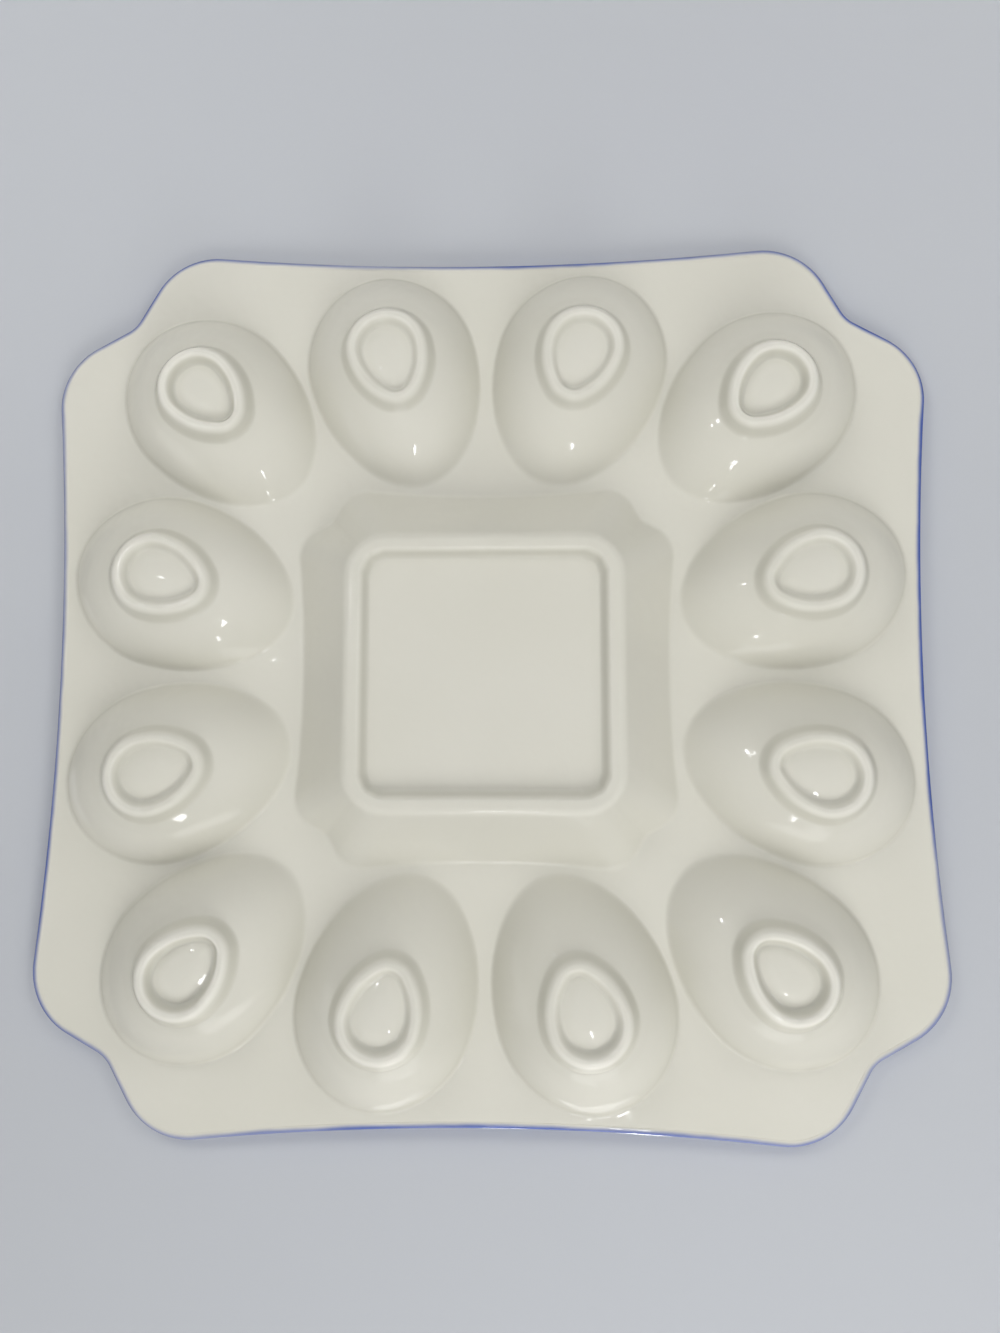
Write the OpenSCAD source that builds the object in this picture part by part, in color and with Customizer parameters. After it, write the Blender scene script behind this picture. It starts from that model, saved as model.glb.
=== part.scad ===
// Serving platter for a dozen halved eggs, in glazed stoneware.
// Sizes are in millimetres, with the face up and the feet standing on z = 0.
// The wells set the size of the platter: they lie round the centre well with small gaps,
// and the rim follows them.

/* [Egg wells] */
// Width of a well on the underside
well_w = 54.4; // [48:0.2:62]
// Reach of a well's blunt end from its deepest point
blunt_reach = 30.5; // [26:0.5:36]
// Reach of a well's narrow end from its deepest point
narrow_reach = 41.5; // [36:0.5:46]
// Depth of a well's bulge below the ground
well_depth = 14; // [12:0.5:16]
// Angle between a paired well and the middle of its side, in degrees
pair_angle = 16.8; // [15:0.1:18.5]
// Least gap between the two wells of a pair
pair_gap = 3.4; // [2:0.1:6]
// Least gap between a corner well and its neighbours
corner_gap = 1.6; // [1:0.1:4]
// Width of the softened edge round each mouth
mouth_w = 1.4; // [0.8:0.1:1.6]
// Slope of the softened edge round each mouth, in degrees
mouth_slope = 30; // [24:1:36]

/* [Ground and rim] */
// Thickness of the glazed wall
wall = 4.2; // [3.6:0.1:4.8]
// Rise of the dished ground from its middle to half the overall width
dish_rise = 2.6; // [1.5:0.1:3.2]
// How far the overall width reaches past the blunt ends of the paired wells
side_margin = 4.4; // [3.6:0.1:8]
// How far each side is drawn in at its middle
side_draw = 4.8; // [3:0.2:6]
// How far each notch keeps from the blunt end of its corner well
notch_margin = 8.2; // [6:0.1:10]
// Radius of the rounded lobes
lobe_r = 22; // [18:0.5:25]
// Radius of the hollow in each corner notch
notch_r = 10; // [8:0.5:12]
// Length of the straight flank between a lobe and a notch
flank_l = 11.2; // [8:0.2:14]
// Width of the painted line round the lip
line_w = 1.6; // [1:0.1:2]

/* [Centre well] */
// Gap between the narrow ends of the paired wells and the centre well
tip_gap = 4.1; // [3:0.1:6]
// How far the centre well's sides slope in from its mouth to its foot
centre_run = 15.4; // [12:0.2:18]
// Width of the level land round the centre well's mouth
centre_land = 2.4; // [1.6:0.1:3]
// How far the well's floor stops inside the outer face of its foot
floor_in = 1.3; // [1:0.1:2]
// How far the well's flat underside runs past its foot
seat_margin = 1.5; // [1:0.1:2]

/* [Square foot] */
// Height of the square foot below the centre well
centre_foot_h = 3.2; // [2.6:0.1:4]
// Width of the square foot's ridge
square_ridge_w = 4.8; // [4:0.1:5.6]
// Lean of the square foot's inner wall, in degrees
square_lean = 42; // [30:1:48]
// Radius inside the square foot's corners
square_in_r = 2.4; // [1.5:0.1:4]

/* [Egg feet] */
// Width of an egg-shaped foot
egg_foot_w = 24.2; // [21:0.2:28]
// How much longer than wide an egg-shaped foot is
egg_foot_draw = 5.8; // [4:0.2:8]
// Width of an egg-shaped foot's ridge
foot_w = 4.4; // [3.6:0.1:5]
// Radius inside the tip of an egg-shaped foot
tip_in_r = 0.8; // [0.6:0.1:1.6]
// Radius of the softened edges of every foot
land_soft = 1.4; // [1:0.1:1.6]
// Gap between the lowest bulge and the surface that the feet stand on
crown_gap = 0.9; // [0.6:0.1:1.5]

/* [Hidden] */
$fn = 240;
wells = [1:12];

// Glaze colours of the body, of its feet and of the painted line
cream = [0.93, 0.92, 0.88];
shade = [0.82, 0.81, 0.76];
blue = [0.27, 0.36, 0.66];

// Straight steps in which each curved stretch of an outline or section is drawn
side_steps = 5;
lobe_steps = 7;
notch_steps = 3;
lip_steps = 8;
soft_steps = 4;
plan_steps = 48;
fit_steps = 14;

// Plan of a well with its deepest point this far from the middle, turned to this angle
function turned(p, a) = [p[0] * cos(a) - p[1] * sin(a), p[0] * sin(a) + p[1] * cos(a)];
function egg_plan(at = 0, angle = 0) = [for (i = [0:plan_steps - 1]) let (
  a = 360 * i / plan_steps,
  reach = cos(a) > 0 ? blunt_reach : narrow_reach
) turned([at + reach * cos(a), well_w / 2 * sin(a)], angle)];

// The paired wells keep their gap across the middle of the side
pair_span = norm([narrow_reach * sin(pair_angle), well_w / 2 * cos(pair_angle)]);
pair_at = (pair_span + pair_gap / 2) / sin(pair_angle);

// The corner wells lie as near the middle as their gap to the paired wells allows
function off_line(p, a, b) = let (d = b - a, t = max(0, min(1, (p - a) * d / (d * d)))) norm(p - a - t * d);
function plan_gap(p, q) = min([for (c = p) for (k = [0:plan_steps - 1])
  off_line(c, q[k], q[(k + 1) % plan_steps])]);
function corner_fit(low, high, n) = n == 0 ? high : let (
  middle = (low + high) / 2,
  gap = plan_gap(egg_plan(pair_at, pair_angle), egg_plan(middle, 45))
) gap < corner_gap ? corner_fit(middle, high, n - 1) : corner_fit(low, middle, n - 1);
corner_at = corner_fit(pair_at, pair_at + well_w, fit_steps);

// The ground is a shallow bowl: its underside and its face are spheres about one centre
half_w = pair_at + blunt_reach + side_margin;
dish_r = (half_w * half_w + dish_rise * dish_rise) / (2 * dish_rise);
function rise(r) = dish_r - sqrt(dish_r * dish_r - r * r);
ground_z = crown_gap + well_depth - rise(pair_at);
function under_z(p) = ground_z + rise(norm(p));
function face_z(p) = ground_z + dish_r - sqrt(pow(dish_r - wall, 2) - p * p);
tall = 2 * (ground_z + dish_rise + wall);

// Outline: long hollow sides, round lobes, straight flanks and a hollow notch at each corner
notch_c = (corner_at + blunt_reach + notch_margin + notch_r) / sqrt(2) * [1, 1];
lobe_y = half_w - lobe_r;
lobe_at = notch_c[0] - sqrt(pow(lobe_r + notch_r, 2) + flank_l * flank_l - pow(notch_c[1] - lobe_y, 2));
lobe_c = [lobe_at, lobe_y];
side_k = half_w - side_draw - lobe_c[1];
side_r = (side_k * side_k + lobe_at * lobe_at - lobe_r * lobe_r) / (2 * (lobe_r - side_k));
side_c = [0, half_w - side_draw + side_r];
side_turn = atan(lobe_at / (side_c[1] - lobe_c[1]));
notch_way = notch_c - lobe_c;
flank_turn = atan2(notch_way[1], notch_way[0]) + acos((lobe_r + notch_r) / norm(notch_way));
function arc(c, r, from, to, n, first = 0) =
  [for (i = [first:n]) let (a = from + (to - from) * i / n) c + r * [cos(a), sin(a)]];
function half_corner(inset) = concat(
  arc(side_c, side_r + inset, 270, 270 + side_turn, side_steps),
  arc(lobe_c, lobe_r - inset, 90 + side_turn, flank_turn, lobe_steps, 1),
  arc(notch_c, notch_r + inset, 180 + flank_turn, 225, notch_steps)
);
function outline(inset = 0) = let (
  half = half_corner(inset),
  last = len(half) - 1,
  corner = concat(half, [for (i = [last - 1:-1:1]) [half[i][1], half[i][0]]])
) [for (k = [0:3]) for (p = corner) turned(p, -90 * k)];

// Skin through rings of equal length, closed by a flat cap at each end or joined end to end
module skin(rings, closed = false) {
  n = len(rings[0]);
  m = len(rings);
  ends = [[0, 0, rings[0][0][2]], [0, 0, rings[m - 1][0][2]]];
  polyhedron(
    points = concat([for (r = rings) for (p = r) p], closed ? [] : ends),
    faces = concat(
      closed ? [] : [for (i = [0:n - 1]) let (j = (i + 1) % n, b = (m - 1) * n)
        each [[m * n, j, i], [m * n + 1, b + i, b + j]]],
      [for (k = [0:closed ? m - 1 : m - 2]) for (i = [0:n - 1])
        let (j = (i + 1) % n, a = k * n, b = (k + 1) % m * n)
        each [[a + i, a + j, b + j], [a + i, b + j, b + i]]]
    )
  );
}

// Sections of the ground's shell and of all that lies over its face, out past the lobes
dish_stop = 25;
dish_steps = ceil((norm(lobe_c) + lobe_r) / dish_stop);
dish_reach = dish_stop * dish_steps;
dish_stops = [for (k = [0:dish_steps]) dish_stop * k];
under_curve = [for (r = dish_stops) [r, under_z([r, 0])]];
face_curve = [for (r = dish_stops) [r, face_z([r, 0])]];
module dish() {
  rotate_extrude() polygon(concat(under_curve, [for (k = [dish_steps:-1:0]) face_curve[k]]));
}
module over_face() {
  rotate_extrude() polygon(concat(face_curve, [[dish_reach, tall], [0, tall]]));
}

// A well is an egg lying on its long axis: this is the form below z = 0, blunt end along +X,
// given its half width and its two reaches at z = 0 and its depth below that
function cap_r(half, depth) = (half * half + depth * depth) / (2 * depth);
module egg_form(half, blunt, narrow, depth) {
  r = cap_r(half, depth);
  rb = cap_r(blunt, depth);
  rn = cap_r(narrow, depth);
  translate([0, 0, r - depth]) rotate([0, 90, 0]) rotate(90) rotate_extrude() {
    intersection() {
      translate([r - rb, 0]) circle(rb);
      square([r, rb]);
    }
    intersection() {
      translate([r - rn, 0]) circle(rn);
      translate([0, -rn]) square([r, rn]);
    }
  }
}

// Outside of a well, a little larger than its plan, and its hollow, which grows into the mouth
plan_lap = 0.3;
mouth_in = wall / 2;
mouth_depth = (well_w / 2 - mouth_in) * tan(mouth_slope / 2);
module outer_form() {
  egg_form(well_w / 2 + plan_lap, blunt_reach + plan_lap, narrow_reach + plan_lap, well_depth);
}
module inner_form(grow, depth) {
  half = well_w / 2 - mouth_in + grow;
  translate([0, 0, wall])
    egg_form(half, blunt_reach - mouth_in + grow, narrow_reach - mouth_in + grow, depth);
}

// Upright prism of a well's plan, which bounds the well where it joins the ground
module well_prism() {
  translate([0, 0, -tall / 2]) linear_extrude(tall) polygon(egg_plan());
}

// Places of the wells: a pair on each side, then one on each corner
function well_angle(i) = 90 * floor((i - 1) / 3) + [-pair_angle, pair_angle, 45][(i - 1) % 3];
function well_at(i) = (i - 1) % 3 == 2 ? corner_at : pair_at;
module at_well(i) {
  rotate(well_angle(i)) translate([well_at(i), 0, under_z([well_at(i), 0])])
    rotate([0, -asin(well_at(i) / dish_r), 0]) children();
}

// Section of a foot's ridge, with its outer face at x = 0 and its flat land on z = 0,
// and how far it reaches in where its inner wall leans
function ridge_in(h, w, lean) =
  w - land_soft * (1 - cos(lean)) + (h - land_soft * (1 - sin(lean))) * tan(lean);
module ridge(h, w, lean = 0) {
  polygon(concat(
    [[-ridge_in(h, w, lean), h]],
    arc([land_soft - w, land_soft], land_soft, 180 + lean, 270, soft_steps),
    arc([-land_soft, land_soft], land_soft, 270, 360, soft_steps),
    [[0, h]]
  ));
}
module bend(c, r, from, to) {
  translate([c[0], c[1], 0]) rotate_extrude(angle = to - from, start = from)
    translate([r, 0]) children();
}

// Egg-shaped ridge drawn from four centres: blunt end, two flanks and the tip
egg_foot_r = egg_foot_w / 2;
egg_foot_tip = foot_w + tip_in_r;
tip_at = egg_foot_r + egg_foot_draw - egg_foot_tip;
flank_r = (tip_at * tip_at + egg_foot_r * egg_foot_r - egg_foot_tip * egg_foot_tip)
  / (2 * (egg_foot_r - egg_foot_tip));
tip_turn = atan((flank_r - egg_foot_r) / tip_at);
module egg_ridge(h) {
  bend([0, 0], egg_foot_r, -90, 90) ridge(h, foot_w);
  bend([0, egg_foot_r - flank_r], flank_r, 90, 180 - tip_turn) ridge(h, foot_w);
  bend([-tip_at, 0], egg_foot_tip, 180 - tip_turn, 180 + tip_turn) ridge(h, foot_w);
  bend([0, flank_r - egg_foot_r], flank_r, 180 + tip_turn, 270) ridge(h, foot_w);
}

// Centre well: the platter's own outline in small, sloping down to the square foot
centre_side = (pair_at - narrow_reach) * cos(pair_angle) - tip_gap;
centre_ratio = centre_side / (half_w - side_draw);
centre_foot_w = 2 * (centre_side - centre_run);
centre_foot_r = square_in_r + ridge_in(centre_foot_h, square_ridge_w, square_lean);
function centre_outline(inset = 0) = centre_ratio * outline(inset / centre_ratio);
function square_reach(half, r, a) = let (
  f = abs(a - 90 * round(a / 90)),
  s = half - r
) f <= atan(s / half) ? half / cos(f)
  : s * (cos(f) + sin(f)) + sqrt(r * r - pow(s * (cos(f) - sin(f)), 2));
function square_ring(half, r, z) = [for (p = centre_outline())
  let (a = atan2(p[1], p[0]), d = square_reach(half, r, a)) [d * cos(a), d * sin(a), z]];
function under_ring(ring) = [for (p = ring) [p[0], p[1], under_z(p)]];
function face_ring(ring, drop = 0) = [for (p = ring) [p[0], p[1], face_z(p) - drop]];

module ground_plate() color(cream) difference() {
  intersection() {
    linear_extrude(tall) polygon(outline(line_w));
    dish();
  }
  for (i = wells) at_well(i) well_prism();
  linear_extrude(tall) polygon(centre_outline());
}

module rim_line() color(blue) skin(
  [for (k = [0:lip_steps]) let (a = 180 * k / lip_steps - 90, ring = outline(line_w * (1 - cos(a))))
    [for (p = ring) [p[0], p[1], (under_z(p) + face_z(p)) / 2 + wall / 2 * sin(a)]]],
  closed = true
);

module centre_well() color(cream) skin([
  square_ring(centre_foot_w / 2 + seat_margin, centre_foot_r + seat_margin, centre_foot_h),
  under_ring(centre_outline()),
  face_ring(centre_outline()),
  face_ring(centre_outline(centre_land)),
  face_ring(centre_outline(centre_land + mouth_w), mouth_w / 2),
  square_ring(centre_foot_w / 2 - floor_in, centre_foot_r - floor_in, centre_foot_h + wall)
]);

module centre_foot() color(shade) for (k = [0:3]) rotate(90 * k) {
  s = centre_foot_w / 2 - centre_foot_r;
  bend([s, s], centre_foot_r, 0, 90) ridge(centre_foot_h, square_ridge_w, square_lean);
  translate([s + centre_foot_r, s, 0]) rotate([90, 0, 0]) linear_extrude(2 * s)
    ridge(centre_foot_h, square_ridge_w, square_lean);
}

module egg_well(i) color(cream) difference() {
  at_well(i) difference() {
    intersection() {
      outer_form();
      well_prism();
    }
    inner_form(0, well_depth);
    inner_form(mouth_w, mouth_depth);
  }
  over_face();
}

module egg_foot(i) color(shade) difference() {
  rotate(well_angle(i)) translate([well_at(i), 0, 0]) egg_ridge(well_depth / 2);
  at_well(i) outer_form();
}

ground_plate();
rim_line();
centre_well();
centre_foot();
for (i = wells) egg_well(i);
for (i = wells) egg_foot(i);
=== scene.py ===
from math import acos, atan, atan2, cos, degrees, hypot, pi, radians, sin, sqrt, tan

import bmesh
import bpy
from mathutils import Matrix, Vector


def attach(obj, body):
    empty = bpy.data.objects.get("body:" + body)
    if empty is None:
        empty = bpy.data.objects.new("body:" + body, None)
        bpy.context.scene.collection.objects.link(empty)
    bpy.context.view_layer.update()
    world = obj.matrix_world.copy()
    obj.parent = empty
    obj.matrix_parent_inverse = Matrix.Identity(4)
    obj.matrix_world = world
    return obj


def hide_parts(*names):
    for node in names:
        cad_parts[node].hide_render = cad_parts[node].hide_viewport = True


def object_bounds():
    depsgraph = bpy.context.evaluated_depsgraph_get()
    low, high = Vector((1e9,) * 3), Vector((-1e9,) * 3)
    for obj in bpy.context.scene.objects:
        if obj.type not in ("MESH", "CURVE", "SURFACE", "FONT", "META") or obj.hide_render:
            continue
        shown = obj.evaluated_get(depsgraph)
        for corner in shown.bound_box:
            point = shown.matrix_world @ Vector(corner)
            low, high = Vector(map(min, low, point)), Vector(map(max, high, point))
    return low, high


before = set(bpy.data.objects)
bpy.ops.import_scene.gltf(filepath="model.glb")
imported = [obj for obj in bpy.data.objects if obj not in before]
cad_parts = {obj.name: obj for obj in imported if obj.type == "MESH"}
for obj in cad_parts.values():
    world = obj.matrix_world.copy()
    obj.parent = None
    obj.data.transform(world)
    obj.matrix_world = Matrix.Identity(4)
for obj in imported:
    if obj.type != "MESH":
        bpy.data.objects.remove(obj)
cad_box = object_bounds()

# Ground of the platter: a shallow dish of slip-cast stoneware with hollow sides, round lobes and a
# notch at each corner. Ground, wells and feet come out of one mould and are fired as one body,
# so they are drawn here into one mesh, by loops that follow the wells, the feet and the lip.
MM = 0.001
half_w = (cad_box[1].x - cad_box[0].x) / 2 / MM
wall = 4.2
dish_rise = 2.6
crown_gap = 0.9
well_depth = 14.0
pair_at = 105.07
side_draw = 4.8
lobe_r = 22.0
lobe_c = Vector((89.95, half_w - lobe_r))
notch_r = 10.0
notch_at = 164.54
notch_c = Vector((1, 1)) * (notch_at + notch_r) / sqrt(2)
dish_r = (half_w ** 2 + dish_rise ** 2) / (2 * dish_rise)
ground_z = crown_gap + well_depth - dish_r + sqrt(dish_r ** 2 - pair_at ** 2)
side_steps, lobe_steps, notch_steps = 12, 13, 7
body = bmesh.new()


def under_z(x, y):
    return ground_z + dish_r - sqrt(dish_r ** 2 - x * x - y * y)


def face_z(x, y):
    return ground_z + dish_r - sqrt((dish_r - wall) ** 2 - x * x - y * y)


def arc(centre, r, start, stop, steps, first=0):
    turns = [start + (stop - start) * i / steps for i in range(first, steps + 1)]
    return [Vector((centre.x + r * cos(a), centre.y + r * sin(a))) for a in turns]


def outline(inset=0.0):
    """Points round the platter, moved in by inset: half a corner, mirrored, then turned four times."""
    side_k = half_w - side_draw - lobe_c.y
    side_r = (side_k ** 2 + lobe_c.x ** 2 - lobe_r ** 2) / (2 * (lobe_r - side_k))
    side_c = Vector((0, half_w - side_draw + side_r))
    side_turn = atan(lobe_c.x / (side_c.y - lobe_c.y))
    way = notch_c - lobe_c
    flank_turn = atan2(way.y, way.x) + acos((lobe_r + notch_r) / way.length)
    half = arc(side_c, side_r + inset, 1.5 * pi, 1.5 * pi + side_turn, side_steps)
    half += arc(lobe_c, lobe_r - inset, pi / 2 + side_turn, flank_turn, lobe_steps, 1)
    half += arc(notch_c, notch_r + inset, pi + flank_turn, 1.25 * pi, notch_steps)
    corner = half + [Vector((p.y, p.x)) for p in half[-2:0:-1]]
    return [Matrix.Rotation(-k * pi / 2, 2) @ p for k in range(4) for p in corner]


# Egg wells: twelve hollows, each the lower part of an egg lying on its side, blunt end to the rim.
# Underneath they bulge out of the ground with a small fillet and end in an egg-shaped foot ring,
# inside which the egg's own crown shows as a low dome.
well_w = 54.4
blunt_reach = 30.5
narrow_reach = 41.5
pair_turn = radians(16.8)
corner_at, corner_turn = 125.84, radians(45)
base_soft = 0.9
mouth_soft = 1.8
egg_foot_r = 12.1
egg_foot_draw = 5.8
egg_foot_tip = 7.8
foot_land_in, foot_land_out = -2.1, -1.35
foot_flank_in, foot_flank_out = 2.8, 4.2
least_foot_r = 0.25
moat_depth, moat_w = 0.4, 5.0
tip_at = egg_foot_r + egg_foot_draw - egg_foot_tip
flank_r = (tip_at ** 2 + egg_foot_r ** 2 - egg_foot_tip ** 2) / (2 * (egg_foot_r - egg_foot_tip))
tip_turn = atan((flank_r - egg_foot_r) / tip_at)


def round_max(a, b, soft):
    """The larger of two heights, with the crease between them rounded."""
    near = max(soft - abs(a - b), 0.0) / soft
    return max(a, b) + near * near * soft / 4


def ease(t):
    t = min(max(t, 0.0), 1.0)
    return t * t * (3 - 2 * t)


def cap_r(reach, depth):
    return (reach * reach + depth * depth) / (2 * depth)


def egg_depth(u, v, inset=0.0):
    """Depth of the egg below the ground at a point of its plan, and less than 0 outside the plan."""
    r = cap_r(well_w / 2 - inset, well_depth)
    end_r = cap_r((blunt_reach if u > 0 else narrow_reach) - inset, well_depth)
    section = r - end_r + sqrt(max(end_r ** 2 - u * u, 0.0))
    return sqrt(max(section ** 2 - v * v, 0.0)) - r + well_depth


def egg_edge(turn, off, inset=0.0):
    """Point of the egg's plan where its outline faces this way, moved out by off."""
    end = (blunt_reach if cos(turn) > 0 else narrow_reach) - inset
    side = well_w / 2 - inset
    a = atan2(side * sin(turn), end * cos(turn))
    return Vector((end * cos(a) + off * cos(turn), side * sin(a) + off * sin(turn)))


def foot_point(turn, off):
    """Point of the foot's plan that faces this way, off its outer edge by off."""
    a = degrees(turn) % 360
    if a <= 90 or a >= 270:
        centre, r = Vector((0, 0)), egg_foot_r
    elif abs(a - 180) <= degrees(tip_turn):
        centre, r = Vector((-tip_at, 0)), egg_foot_tip
    else:
        centre, r = Vector((0, (egg_foot_r - flank_r) * (1 if a < 180 else -1))), flank_r
    return centre + max(r + off, least_foot_r) * Vector((cos(turn), sin(turn)))


def foot_off(u, v):
    """Distance of a point of the plan from the outer edge of the foot, negative inside it."""
    side = abs(v)
    if u >= 0:
        return hypot(u, side) - egg_foot_r
    if side < -(u + tip_at) * tan(tip_turn):
        return hypot(u + tip_at, side) - egg_foot_tip
    return hypot(u, side + flank_r - egg_foot_r) - flank_r


def ridge_share(off):
    """Share of the way down that the foot's ridge reaches: 1 on its land and 0 past its flanks."""
    if off > foot_land_out:
        return 1 - ease((off - foot_land_out) / foot_flank_out)
    return 1 - ease((foot_land_in - off) / foot_flank_in)


def well_under(x, y, u, v):
    off = foot_off(u, v)
    z = under_z(x, y) - round_max(egg_depth(u, v), 0.0, base_soft)
    if off < foot_land_in:
        z += moat_depth * (1 - ease((foot_land_in - off - foot_flank_in / 2) / moat_w))
    return z * (1 - ridge_share(off))


def well_face(x, y, u, v):
    return face_z(x, y) - round_max(egg_depth(u, v, wall / 2), 0.0, mouth_soft)


def loop_edges(mesh, verts):
    return [mesh.edges.get((a, b)) for a, b in zip(verts, verts[1:] + verts[:1])]


def lay(verts, points):
    for vert, point in zip(verts, points):
        vert.co = Vector(point) * MM
    return verts


def first_loop(mesh, points):
    return lay(bmesh.ops.create_circle(mesh, segments=len(points), radius=1)["verts"], points)


def next_loop(mesh, verts, points):
    """Draws a new loop out of the last one and lays it through the points."""
    made = bmesh.ops.extrude_edge_only(mesh, edges=loop_edges(mesh, verts))["geom"]
    fresh = {g for g in made if isinstance(g, bmesh.types.BMVert)}
    ends = [[e.other_vert(v) for e in v.link_edges] for v in verts]
    return lay([next(o for o in others if o in fresh) for others in ends], points)


def draw_loops(mesh, loops):
    """Skin through the loops, closed over the last one."""
    verts = first_loop(mesh, loops[0])
    for points in loops[1:]:
        verts = next_loop(mesh, verts, points)
    cap = bmesh.ops.contextual_create(mesh, geom=loop_edges(mesh, verts))["faces"]
    bmesh.ops.poke(mesh, faces=cap)


def draw_wells(plans, height):
    """Three wells of one side and corner, drawn on their plans, then turned to the other three."""
    quarter = bmesh.new()
    for at, turn in ((pair_at, -pair_turn), (pair_at, pair_turn), (corner_at, corner_turn)):
        loops = []
        for plan in plans:
            spots = [(Matrix.Rotation(turn, 2) @ (p + Vector((at, 0))), p) for p in plan]
            loops.append([(s.x, s.y, height(s.x, s.y, p.x, p.y)) for s, p in spots])
        draw_loops(quarter, loops)
    whole = quarter.verts[:] + quarter.edges[:] + quarter.faces[:]
    bmesh.ops.spin(quarter, geom=whole, axis=(0, 0, 1), angle=1.5 * pi, steps=3, use_duplicate=True)
    mould = bpy.data.meshes.new("wells")
    quarter.to_mesh(mould)
    quarter.free()
    body.from_mesh(mould)
    bpy.data.meshes.remove(mould)


round_steps = 80
turns = [2 * pi * (i + 0.5) / round_steps for i in range(round_steps)]
edge_offs = (0.72, 0.54, 0.36, 0.18, 0.0, -0.2, -0.45, -0.75, -1.15, -1.7)
ring_loops, ring_step, ring_spare = 24, 0.36, 0.2
ring_start = foot_land_out + foot_flank_out + ring_spare
slope_steps = 8
crown_c = Vector((-1.2, 0))
crown_shares = (0.06, 0.14, 0.25, 0.4, 0.6, 0.8)
under_plans = [[egg_edge(t, off) for t in turns] for off in edge_offs]
ring_plans = [[foot_point(t, ring_start - ring_step * i) for t in turns] for i in range(ring_loops)]
slope_plans = [[a.lerp(b, i / slope_steps) for a, b in zip(under_plans[-1], ring_plans[0])]
               for i in range(1, slope_steps)]
crown_plans = [[p.lerp(crown_c, share) for p in ring_plans[-1]] for share in crown_shares]
draw_wells(under_plans + slope_plans + ring_plans + crown_plans, well_under)

# Centre well: a square pan whose mouth repeats the platter's own outline in small. Underneath its
# sides slope straight into a rounded-square foot ring, with a bare level panel inside the ring.
centre_ratio = 0.4199
centre_foot = 41.36
centre_foot_r = 11.8
centre_foot_h = 3.2
square_land_in = -3.6
square_flank_in = 3.4
centre_soft = 0.7
seat_off, seat_soft = -0.5, 1.0
square_start, square_step, square_loops = -2.5, 0.3, 18
panel_off = -7.8


def square_point(turn, half, r):
    """Point of a rounded square in this direction from its middle."""
    off = abs((turn + pi / 4) % (pi / 2) - pi / 4)
    straight = half - r
    if off <= atan(straight / half):
        reach = half / cos(off)
    else:
        reach = straight * (cos(off) + sin(off)) + sqrt(r * r - (straight * (cos(off) - sin(off))) ** 2)
    return Vector((reach * cos(turn), reach * sin(turn)))


def centre_outline(inset):
    return [p * centre_ratio for p in outline(inset / centre_ratio)]


centre_turns = [atan2(p.y, p.x) for p in centre_outline(0)]


def centre_ring(off):
    return [square_point(t, centre_foot + off, centre_foot_r + off) for t in centre_turns]


def centre_side(mouth, seat, top, floor_z, floor_soft, share):
    """Loop this share of the way down a sloping side, rounded where it meets the ground and the seat."""
    points = []
    for a, b in zip(mouth, seat):
        p = a.lerp(b, share)
        slope_z = top(a.x, a.y) - (top(a.x, a.y) - floor_z) * share
        z = -round_max(-slope_z, -top(p.x, p.y), centre_soft)
        points.append((p.x, p.y, round_max(z, floor_z, floor_soft)))
    return points


mouth_shares = [-0.09, -0.07, -0.05, -0.03, -0.015, 0.0, 0.015, 0.03, 0.05, 0.07, 0.09, 0.12]
slope_shares = [0.12 + 0.08 * i for i in range(1, 10)]
seat_shares = [0.88, 0.91, 0.94, 0.97, 1.0, 1.02]
side_shares = mouth_shares + slope_shares + seat_shares
land_shares = [1.04, 1.06, 1.08, 1.1]
inner_shares = (0.8, 0.5, 0.2)
panel_shares = (0.97, *inner_shares)
centre_loops = [centre_side(centre_outline(0), centre_ring(seat_off), under_z, 0.0, seat_soft, share)
                for share in side_shares + land_shares]
for i in range(square_loops):
    off = square_start - square_step * i
    z = centre_foot_h * ease((square_land_in - off) / square_flank_in)
    centre_loops.append([(p.x, p.y, z) for p in centre_ring(off)])
for share in panel_shares:
    centre_loops.append([(p.x * share, p.y * share, centre_foot_h) for p in centre_ring(panel_off)])
draw_loops(body, centre_loops)

# Lip: the edge of the ground, where its underside and its face meet in one round bend. It is part of
# the same stoneware casting, trimmed along the seam of the mould and wiped with a sponge before firing.
lip_w = 1.6
lip_land, lip_land_mid = 3.0, 2.25
lip_steps = 14
lip_bends = [pi * (i / lip_steps - 0.5) for i in range(lip_steps + 1)]


def lip_loop(turn, proud=0.0, land=0.0):
    """Loop along the lip this far round its edge, from the underside to the face, standing proud by
    proud and moved in over the land beside the lip by land."""
    out, up = Vector((cos(turn) / lip_w, sin(turn) / (wall / 2))).normalized() * proud
    points = []
    for p in outline(lip_w * (1 - cos(turn)) - out + land):
        middle = (under_z(p.x, p.y) + face_z(p.x, p.y)) / 2
        points.append((p.x, p.y, middle + wall / 2 * sin(turn) + up))
    return points


rim = first_loop(body, [(p.x, p.y, under_z(p.x, p.y)) for p in outline(lip_land)])
rim = next_loop(body, rim, [(p.x, p.y, under_z(p.x, p.y)) for p in outline(lip_land_mid)])
for bend in lip_bends:
    rim = next_loop(body, rim, lip_loop(bend))
rim = next_loop(body, rim, [(p.x, p.y, face_z(p.x, p.y)) for p in outline(lip_land_mid)])
rim = next_loop(body, rim, [(p.x, p.y, face_z(p.x, p.y)) for p in outline(lip_land)])

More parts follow.
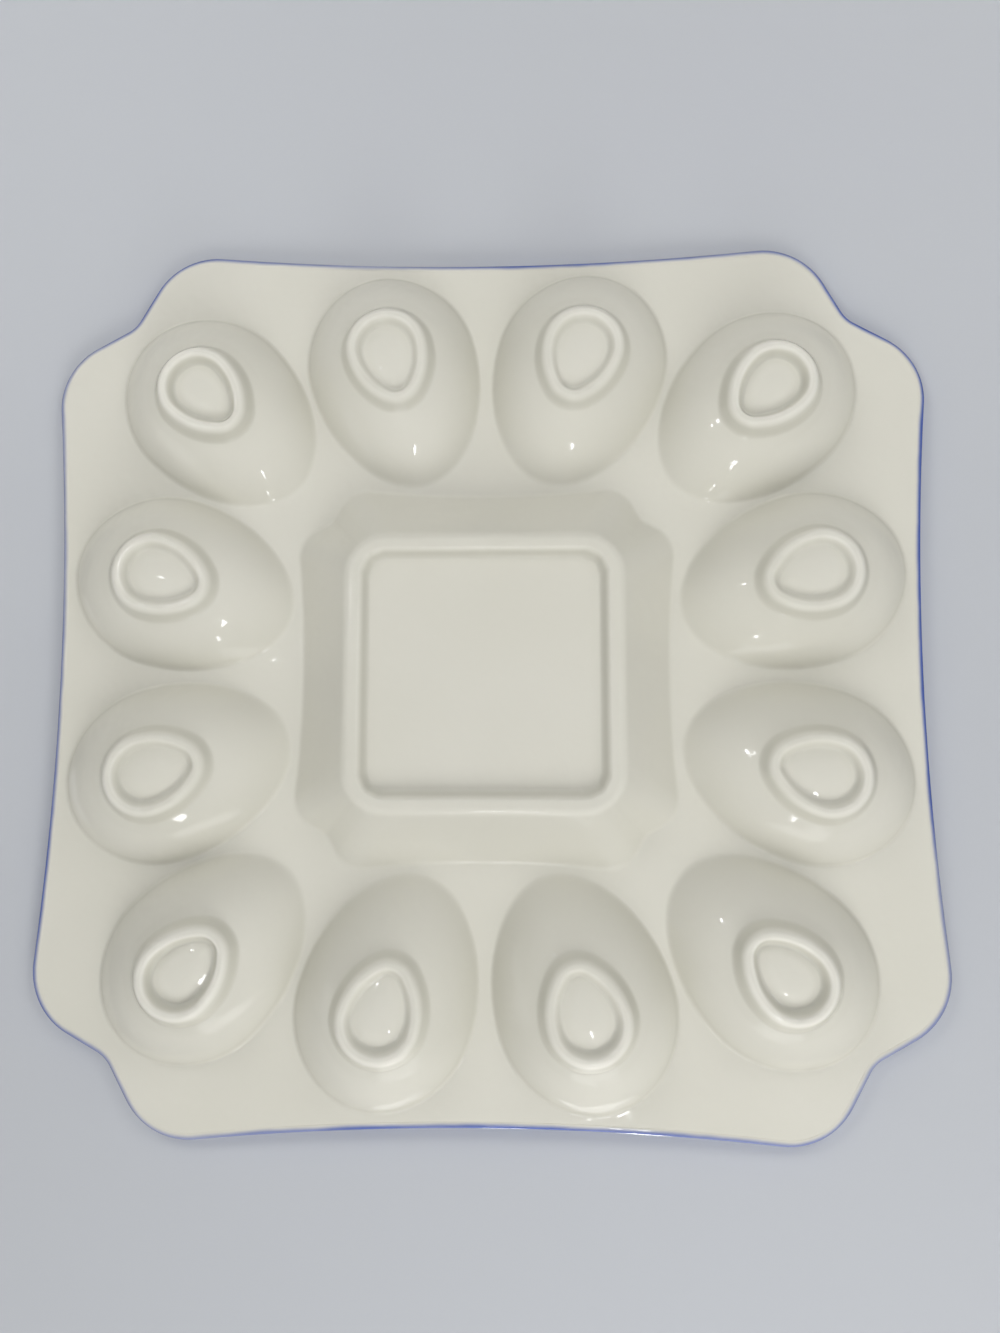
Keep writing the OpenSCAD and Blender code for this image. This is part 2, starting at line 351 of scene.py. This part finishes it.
# Face of the platter: the hollows that hold the eggs, with softened mouths, and the square pan in the
# middle with a level land round it. They are the other side of the same wall.
bowl_offs = (1.3, 1.0, 0.7, 0.4, 0.1, -0.2, -0.5, -0.9, -1.4, -2.0)
bowl_shares = (0.08, 0.17, 0.28, 0.4, 0.53, 0.66, 0.79, 0.9)
bowl_c = Vector((-2, 0))
bowl_plans = [[egg_edge(t, off, wall / 2) for t in turns] for off in bowl_offs]
bowl_plans += [[p.lerp(bowl_c, share) for p in bowl_plans[-1]] for share in bowl_shares]
draw_wells(bowl_plans, well_face)
centre_land = 2.4
floor_half, floor_r = 40.06, 8.0
floor_shares = [1.1, 1.16]
pan_z = centre_foot_h + wall
floor_ring = [square_point(t, floor_half, floor_r) for t in centre_turns]
pan_loops = [centre_side(centre_outline(centre_land), floor_ring, face_z, pan_z, centre_soft, share)
             for share in side_shares + floor_shares]
pan_edge = pan_loops[-1]
for share in inner_shares:
    pan_loops.append([(x * share, y * share, pan_z) for x, y, z in pan_edge])
draw_loops(body, pan_loops)

# Skins of the ground: the smooth clay between the wells, the pan and the lip, on both sides of the wall.
# Each is filled between the open loops, in a fine and even net that follows the dish.
ground_grain = 6.0
most_rounds = 7


def ground_parts():
    """Faces of the ground, and the edges between two of them."""
    faces = [f for f in body.faces if f.material_index]
    inner = {e for f in faces for e in f.edges if sum(g.material_index for g in e.link_faces) == 2}
    return faces, list(inner)


def fill_ground(height):
    """Fills the ground between the open loops, and divides and evens it until it follows the dish."""
    edges = []
    for edge in body.edges:
        x, y, z = edge.verts[0].co / MM
        if len(edge.link_faces) < 2 and abs(z - height(x, y)) < wall / 2:
            edges.append(edge)
    made = bmesh.ops.triangle_fill(body, use_beauty=True, edges=edges)["geom"]
    for face in made:
        if isinstance(face, bmesh.types.BMFace):
            face.material_index = 1
    for _ in range(most_rounds):
        coarse = [e for e in ground_parts()[1] if e.calc_length() > ground_grain * MM]
        if not coarse:
            break
        bmesh.ops.subdivide_edges(body, edges=coarse, cuts=1)
        bmesh.ops.triangulate(body, faces=ground_parts()[0])
        faces, inner = ground_parts()
        bmesh.ops.beautify_fill(body, faces=faces, edges=inner)
        inner = set(ground_parts()[1])
        middle = [v for v in {v for e in inner for v in e.verts} if inner.issuperset(v.link_edges)]
        bmesh.ops.smooth_vert(body, verts=middle, factor=0.5, use_axis_x=True, use_axis_y=True)
        for v in middle:
            v.co.z = height(v.co.x / MM, v.co.y / MM) * MM
    for face in ground_parts()[0]:
        face.material_index = 0


fill_ground(under_z)
fill_ground(face_z)

# Glaze: a cream, glossy stoneware glaze over the whole body, laid on by dipping, with faint waves from
# the dipping. Its colour carries painted shade, darker in the creases (standing also for pooled glaze),
# most towards the rim, and greyer down the slopes except close to the feet, and a painted highlight,
# paler on the ridges.
seam_gap = 0.001
hollow_blurs = 4
# Painted shade in the creases and down the slopes, and painted highlight on the ridges: where each
# starts, its reach and strength, how the crease shade grows towards the rim, and the height over the feet
# under which the slope shade fades out.
crease_from, crease_reach, crease_shade_share = 0.03, 0.6, 0.8
slope_shade_from, slope_shade_reach, slope_shade_share = 0.03, 0.4, 0.75
ridge_reach = 0.2
rim_shade_from, rim_shade_w = 100.0, 20.0
unshaded_foot_h = 1.8
cloud_w, wave_w, peel_w = 60.0, 22.0, 6.0
wave_h, peel_h = 0.5, 0.2
glaze_rough, glaze_ior = 0.07, 1.52
bmesh.ops.remove_doubles(body, verts=body.verts, dist=seam_gap * MM)
bmesh.ops.recalc_face_normals(body, faces=body.faces)
body.normal_update()
# Vertex attributes for painted light in the glaze colour: hollow, the concavity that sets the painted
# shade in the creases and the painted highlight on the ridges, and the slope, which sets the painted
# shade on steep sides.
hollow = body.verts.layers.float.new("hollow")
slope_shade = body.verts.layers.float.new("slope_shade")
for vert in body.verts:
    ways = [(e.other_vert(vert).co - vert.co, e.calc_length()) for e in vert.link_edges]
    vert[hollow] = sum(way.dot(vert.normal) / length for way, length in ways) / len(ways)
    vert[slope_shade] = (1 - abs(vert.normal.z)) * ease(vert.co.z / MM / unshaded_foot_h)
for _ in range(hollow_blurs):
    near = [[e.other_vert(v)[hollow] for e in v.link_edges] for v in body.verts]
    for vert, values in zip(body.verts, near):
        vert[hollow] += (sum(values) / len(values) - vert[hollow]) / 2
# The painted crease shade grows stronger towards the rim.
for vert in body.verts:
    out = hypot(vert.co.x, vert.co.y) / MM
    vert[hollow] *= 1 + ease((out - rim_shade_from) / rim_shade_w)
for face in body.faces:
    face.smooth = True
body_mesh = bpy.data.meshes.new("glazed_body")
body.to_mesh(body_mesh)
body.free()
glazed_body = bpy.data.objects.new("glazed_body", body_mesh)
bpy.context.scene.collection.objects.link(glazed_body)
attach(glazed_body, "root")
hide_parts(*[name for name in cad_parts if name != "rim_line"])


def linear(hex_colour):
    channels = [int(hex_colour[i:i + 2], 16) / 255 for i in (1, 3, 5)]
    return [c / 12.92 if c <= 0.04045 else ((c + 0.055) / 1.055) ** 2.4 for c in channels] + [1.0]


def add(tree, kind, links=(), values=(), **settings):
    """Adds a node with its settings, its sockets' values and its links from other nodes' sockets."""
    made = tree.nodes.new(kind)
    for name, value in settings.items():
        setattr(made, name, value)
    for socket, value in dict(values).items():
        made.inputs[socket].default_value = value
    for socket, source in dict(links).items():
        tree.links.new(source, made.inputs[socket])
    return made


def glaze_nodes(tree):
    """Colour and ripple of the cream glaze, as sockets; the colour carries painted shade on the slopes
    and in the creases and a painted highlight on the ridges.
    """
    place = add(tree, "ShaderNodeTexCoord").outputs["Object"]
    cloud = add(tree, "ShaderNodeTexNoise", {"Vector": place}, {"Scale": 1 / (cloud_w * MM), "Detail": 2})
    tint = add(tree, "ShaderNodeMix", {0: cloud.outputs["Fac"]},
               {6: linear("#E2E0D6"), 7: linear("#DAD8CB")}, data_type="RGBA")
    # Painted shade: steep sides turn greyer, but not low down by the feet.
    slope = add(tree, "ShaderNodeAttribute", attribute_name="slope_shade")
    drawn = add(tree, "ShaderNodeMapRange", {"Value": slope.outputs["Fac"]},
                {"From Min": slope_shade_from, "From Max": slope_shade_reach, "To Max": slope_shade_share})
    sides = add(tree, "ShaderNodeMix", {0: drawn.outputs[0], 6: tint.outputs[2]},
                {7: linear("#C8C6B9")}, data_type="RGBA")
    # Painted shade in the creases, which also stands for the glaze pooled there.
    crease = add(tree, "ShaderNodeAttribute", attribute_name="hollow")
    crease_shade = add(tree, "ShaderNodeMapRange", {"Value": crease.outputs["Fac"]},
               {"From Min": crease_from, "From Max": crease_reach, "To Max": crease_shade_share})
    crease_shaded = add(tree, "ShaderNodeMix", {0: crease_shade.outputs[0], 6: sides.outputs[2]},
                 {7: linear("#A6A79A")}, data_type="RGBA")
    # Painted highlight: convex ridges and the lands of the feet turn paler.
    ridge_highlight = add(tree, "ShaderNodeMapRange", {"Value": crease.outputs["Fac"]},
               {"From Min": -crease_from, "From Max": -ridge_reach})
    colour = add(tree, "ShaderNodeMix", {0: ridge_highlight.outputs[0], 6: crease_shaded.outputs[2]},
                 {7: linear("#F2F0E7")}, data_type="RGBA")
    wave = add(tree, "ShaderNodeTexNoise", {"Vector": place}, {"Scale": 1 / (wave_w * MM), "Detail": 1})
    broad = add(tree, "ShaderNodeBump", {"Height": wave.outputs["Fac"]},
                {"Strength": 1.0, "Distance": wave_h * MM})
    peel = add(tree, "ShaderNodeTexNoise", {"Vector": place}, {"Scale": 1 / (peel_w * MM), "Detail": 1})
    ripple = add(tree, "ShaderNodeBump", {"Height": peel.outputs["Fac"], "Normal": broad.outputs[0]},
                 {"Strength": 1.0, "Distance": peel_h * MM})
    return colour.outputs[2], ripple.outputs[0]


# Stoneware glaze, fired glossy: a glassy sheen that wavers a little, over a softly clouded cream with
# painted shade and highlight in it.
glaze = bpy.data.materials.new("cream_stoneware_glaze")
glaze.use_nodes = True
gloss = glaze.node_tree.nodes["Principled BSDF"]
gloss.inputs["Roughness"].default_value = glaze_rough
gloss.inputs["IOR"].default_value = glaze_ior
glaze_colour, glaze_ripple = glaze_nodes(glaze.node_tree)
glaze.node_tree.links.new(glaze_colour, gloss.inputs["Base Color"])
glaze.node_tree.links.new(glaze_ripple, gloss.inputs["Normal"])
body_mesh.materials.append(glaze)

# Painted line: cobalt brushed along the lip before glazing, so it lies under the same gloss. It is
# strongest on the edge itself, bleeds into the cream on both sides and thins where the brush ran dry.
line_half = 3.9
line_land, line_fade = 1.1, 0.5
line_proud, line_edge, line_sunk = 0.02, -0.02, -0.3
bleed_w, bleed_share = 18.0, 0.25
ink_full, ink_gone = 0.62, 1.05
dry_w, dry_from, dry_to, dry_load = 90.0, 0.3, 0.6, 0.55
line = bmesh.new()
across = line.verts.layers.float.new("across")
lip_run = [(abs(b) / (pi / 2) * (line_half - line_land), b, 0.0) for b in lip_bends]
lands = [(line_edge, line_half, line_land), (line_proud, line_half - line_fade, line_land - line_fade)]
stations = [(proud, run, lip_bends[0], land) for proud, run, land in lands]
stations += [(line_proud, *station) for station in lip_run]
stations += [(proud, run, lip_bends[-1], land) for proud, run, land in reversed(lands)]
stations += [(line_sunk, *station) for station in reversed(lip_run)]
verts = None
for proud, run, bend, land in stations:
    points = lip_loop(bend, proud, land)
    verts = next_loop(line, verts, points) if verts else first_loop(line, points)
    for vert in verts:
        vert[across] = run / line_half
open_edges = [e for e in line.edges if len(e.link_faces) < 2]
bmesh.ops.bridge_loops(line, edges=open_edges)
bmesh.ops.recalc_face_normals(line, faces=line.faces)
for face in line.faces:
    face.smooth = True
line_mesh = bpy.data.meshes.new("painted_line")
line.to_mesh(line_mesh)
line.free()
painted_line = bpy.data.objects.new("painted_line", line_mesh)
bpy.context.scene.collection.objects.link(painted_line)
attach(painted_line, "root")
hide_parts("rim_line")

# Cobalt oxide under clear glaze: a soft, watery blue of uneven depth, with the glaze's own sheen on it.
paint = bpy.data.materials.new("cobalt_under_glaze")
paint.use_nodes = True
tree = paint.node_tree
shine = tree.nodes["Principled BSDF"]
shine.inputs["Roughness"].default_value = glaze_rough
shine.inputs["IOR"].default_value = glaze_ior
glaze_colour, glaze_ripple = glaze_nodes(tree)
place = add(tree, "ShaderNodeTexCoord").outputs["Object"]
wander = add(tree, "ShaderNodeTexNoise", {"Vector": place}, {"Scale": 1 / (bleed_w * MM), "Detail": 3})
edge = add(tree, "ShaderNodeAttribute", attribute_name="across")
spread = add(tree, "ShaderNodeMath", {0: wander.outputs["Fac"]}, {1: bleed_share}, operation="MULTIPLY")
reach = add(tree, "ShaderNodeMath", {0: edge.outputs["Fac"], 1: spread.outputs[0]}, operation="ADD")
ink = add(tree, "ShaderNodeMapRange", {"Value": reach.outputs[0]},
          {"From Min": ink_full, "From Max": ink_gone, "To Min": 1.0, "To Max": 0.0},
          interpolation_type="SMOOTHSTEP")
dry = add(tree, "ShaderNodeTexNoise", {"Vector": place}, {"Scale": 1 / (dry_w * MM), "Detail": 2})
load = add(tree, "ShaderNodeMapRange", {"Value": dry.outputs["Fac"]},
           {"From Min": dry_from, "From Max": dry_to, "To Min": dry_load, "To Max": 1.0})
strength = add(tree, "ShaderNodeMath", {0: ink.outputs[0], 1: load.outputs[0]}, operation="MULTIPLY")
blue = add(tree, "ShaderNodeMix", {0: strength.outputs[0], 6: glaze_colour},
           {7: linear("#3F5AA8")}, data_type="RGBA")
tree.links.new(blue.outputs[2], shine.inputs["Base Color"])
tree.links.new(glaze_ripple, shine.inputs["Normal"])
line_mesh.materials.append(paint)

# Floor and backdrop: plain pale paper, one sheet under the feet for the views from above, and one that
# the platter lies face down on for the views from below. Each shows only from the platter's own side,
# and away from the platter it fades into the even colour of a paper cove.
floor_half_w = 6.0
paper_colour = linear("#C4C7CC")
paper_level = 0.9
paper_rough = 0.9
fade_from, fade_to = 0.16, 0.55
for name, z, looks_down in (("floor", 0.0, False), ("face_down_floor", cad_box[1].z, True)):
    sheet = bmesh.new()
    level = Matrix.Translation((0, 0, z))
    bmesh.ops.create_grid(sheet, x_segments=1, y_segments=1, size=floor_half_w, matrix=level)
    if looks_down:
        bmesh.ops.reverse_faces(sheet, faces=sheet.faces)
    sheet_mesh = bpy.data.meshes.new(name)
    sheet.to_mesh(sheet_mesh)
    sheet.free()
    floor = bpy.data.objects.new(name, sheet_mesh)
    bpy.context.scene.collection.objects.link(floor)
    for ray in ("visible_diffuse", "visible_glossy", "visible_shadow", "visible_transmission"):
        setattr(floor, ray, False)
    # Matt backdrop paper: even and without sheen, so that only the platter's soft shadow shows on it.
    paper = bpy.data.materials.new(name + "_paper")
    paper.use_nodes = True
    tree = paper.node_tree
    matt = tree.nodes["Principled BSDF"]
    matt.inputs["Base Color"].default_value = paper_colour
    matt.inputs["Roughness"].default_value = paper_rough
    matt.inputs["Specular IOR Level"].default_value = 0.0
    spot = add(tree, "ShaderNodeTexCoord").outputs["Object"]
    far = add(tree, "ShaderNodeVectorMath", {0: spot}, operation="LENGTH")
    fade = add(tree, "ShaderNodeMapRange", {"Value": far.outputs["Value"]},
               {"From Min": fade_from, "From Max": fade_to}, interpolation_type="SMOOTHSTEP")
    cove = add(tree, "ShaderNodeEmission", (), {"Color": paper_colour, "Strength": paper_level})
    swept = add(tree, "ShaderNodeMixShader",
                {0: fade.outputs[0], 1: matt.outputs[0], 2: cove.outputs[0]})
    back = add(tree, "ShaderNodeNewGeometry").outputs["Backfacing"]
    clear = add(tree, "ShaderNodeBsdfTransparent")
    sided = add(tree, "ShaderNodeMixShader", {0: back, 1: swept.outputs[0], 2: clear.outputs[0]})
    tree.links.new(sided.outputs[0], tree.nodes["Material Output"].inputs["Surface"])
    sheet_mesh.materials.append(paper)

# Studio light: a pale tent, a little brighter round its foot, a soft key in front with three soft fills
# round the platter, two dim windows for the sheen and three small lamps for the glints. Each lamp has
# a twin, so the underside and the face of the platter are lit alike.
foot_level, roof_level = 0.36, 0.288
foot_top, roof_start = 0.15, 0.55
world = bpy.data.worlds.new("studio_tent")
bpy.context.scene.world = world
world.use_nodes = True
tree = world.node_tree
way = add(tree, "ShaderNodeSeparateXYZ", {0: add(tree, "ShaderNodeTexCoord").outputs["Generated"]})
height = add(tree, "ShaderNodeMath", {0: way.outputs["Z"]}, operation="ABSOLUTE")
tent = add(tree, "ShaderNodeMapRange", {"Value": height.outputs[0]},
           {"From Min": foot_top, "From Max": roof_start, "To Min": foot_level, "To Max": roof_level},
           interpolation_type="SMOOTHSTEP")
seen = add(tree, "ShaderNodeLightPath").outputs["Is Camera Ray"]
shade = add(tree, "ShaderNodeMix", {0: seen, 2: tent.outputs[0]}, {3: paper_level})
cloth = add(tree, "ShaderNodeMix", {0: seen}, {6: linear("#FFFFFF"), 7: paper_colour}, data_type="RGBA")
tree.links.new(shade.outputs[0], tree.nodes["Background"].inputs["Strength"])
tree.links.new(cloth.outputs[2], tree.nodes["Background"].inputs["Color"])


def lamp(name, place, size, power, glints):
    """Two soft lamps turned to the platter, one on each side of it, which show in its gloss or don't."""
    for side in (1, -1):
        data = bpy.data.lights.new(name, "AREA")
        data.shape = "ELLIPSE"
        data.size, data.size_y = size
        data.energy = power
        stand = bpy.data.objects.new(name, data)
        stand.location = Vector((place[0], place[1], place[2] * side))
        stand.rotation_euler = (-stand.location).to_track_quat("-Z", "Y").to_euler()
        stand.visible_camera = False
        stand.visible_glossy = glints
        bpy.context.scene.collection.objects.link(stand)


lamp("front_key", (0.1, 0.71, 0.38), (0.4, 0.4), 2.65, False)
lamp("back_left", (-0.3, -0.3, 0.35), (0.25, 0.25), 0.82, False)
lamp("back_right", (0.3, -0.3, 0.35), (0.25, 0.25), 0.7, False)
lamp("right_front", (0.36, 0.36, 0.28), (0.25, 0.25), 0.36, False)
lamp("front_window", (0.1, 0.75, 0.27), (0.5, 0.2), 0.3, True)
lamp("left_window", (-0.72, 0.22, 0.27), (0.5, 0.2), 0.14, True)
lamp("ceiling_lamp", (0.24, 1.06, 1.68), (0.1, 0.2), 1.2, True)
lamp("low_lamp", (-0.04, 1.6, 1.2), (0.1, 0.16), 0.6, True)
lamp("side_lamp", (-0.75, -0.36, 1.82), (0.08, 0.08), 0.4, True)

# Camera: where the photograph was taken from, about a quarter of a metre from the feet and looking a
# little up the platter. The pixel sizes are the photograph's, 1000 wide and 1333 high.
photo_h = 1333
focal_px = 950
sensor_w = 36
stand_at = Vector((13.2, 28.2, -278.4)) * MM
tilt = Vector((-0.106, -0.030, 0.001))
scene = bpy.context.scene
scene.view_settings.view_transform = "Standard"
eye = bpy.data.cameras.new("camera")
eye.sensor_width = sensor_w
eye.lens = sensor_w * focal_px / photo_h
camera = bpy.data.objects.new("camera", eye)
axes = Matrix.Rotation(tilt.length, 3, tilt.normalized()) @ Matrix.Diagonal((1, -1, -1))
camera.matrix_world = Matrix.Translation(stand_at) @ axes.transposed().to_4x4()
scene.collection.objects.link(camera)
scene.camera = camera
